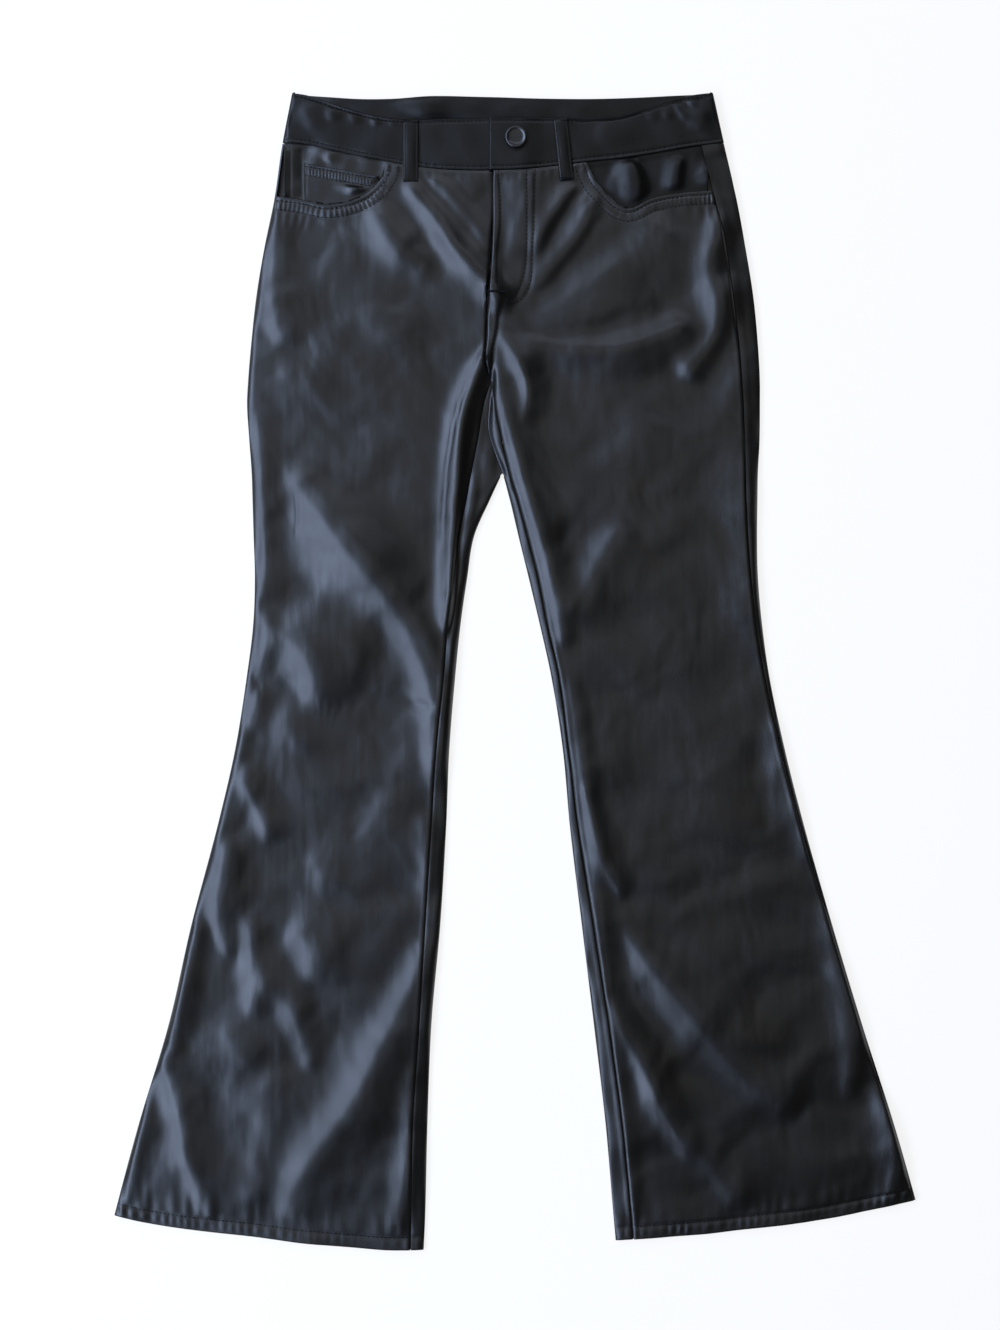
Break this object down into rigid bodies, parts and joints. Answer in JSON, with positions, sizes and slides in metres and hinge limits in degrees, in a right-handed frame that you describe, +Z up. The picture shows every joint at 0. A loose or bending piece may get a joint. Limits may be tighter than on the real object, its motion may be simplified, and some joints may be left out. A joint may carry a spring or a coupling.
{
  "type": "faux leather flared trousers",
  "caption": "Low-rise flared trousers in glossy black faux leather, lying flat with the front up: lapped fly, scooped front pockets, waistband with belt loops, wide hems.",
  "frame": {"origin": "middle of the trousers' outline, on the surface that they lie on", "axes": "+X towards the wearer's left leg, +Y from the hems to the waist, +Z up from the surface through the front"},
  "size_m": [0.5774, 0.834, 0.0115],
  "materials": {
    "faux_leather": "glossy black coated cloth with a fine grain, worn softly creased",
    "black_textile": "matt black zip tape and sewing thread",
    "button_black": "black, half gloss"
  },
  "bodies": {
    "root": {"front_right": "faux_leather", "front_left": "faux_leather", "back_right": "faux_leather", "back_left": "faux_leather", "waistband": "faux_leather", "belt_loop_front_right": "faux_leather", "belt_loop_front_left": "faux_leather", "belt_loop_back_right": "faux_leather", "belt_loop_back_centre": "faux_leather", "belt_loop_back_left": "faux_leather", "pocket_facing_right": "faux_leather", "pocket_facing_left": "faux_leather", "coin_pocket": "faux_leather", "fly_zip": "black_textile", "button": "button_black"}
  },
  "joints": []
}
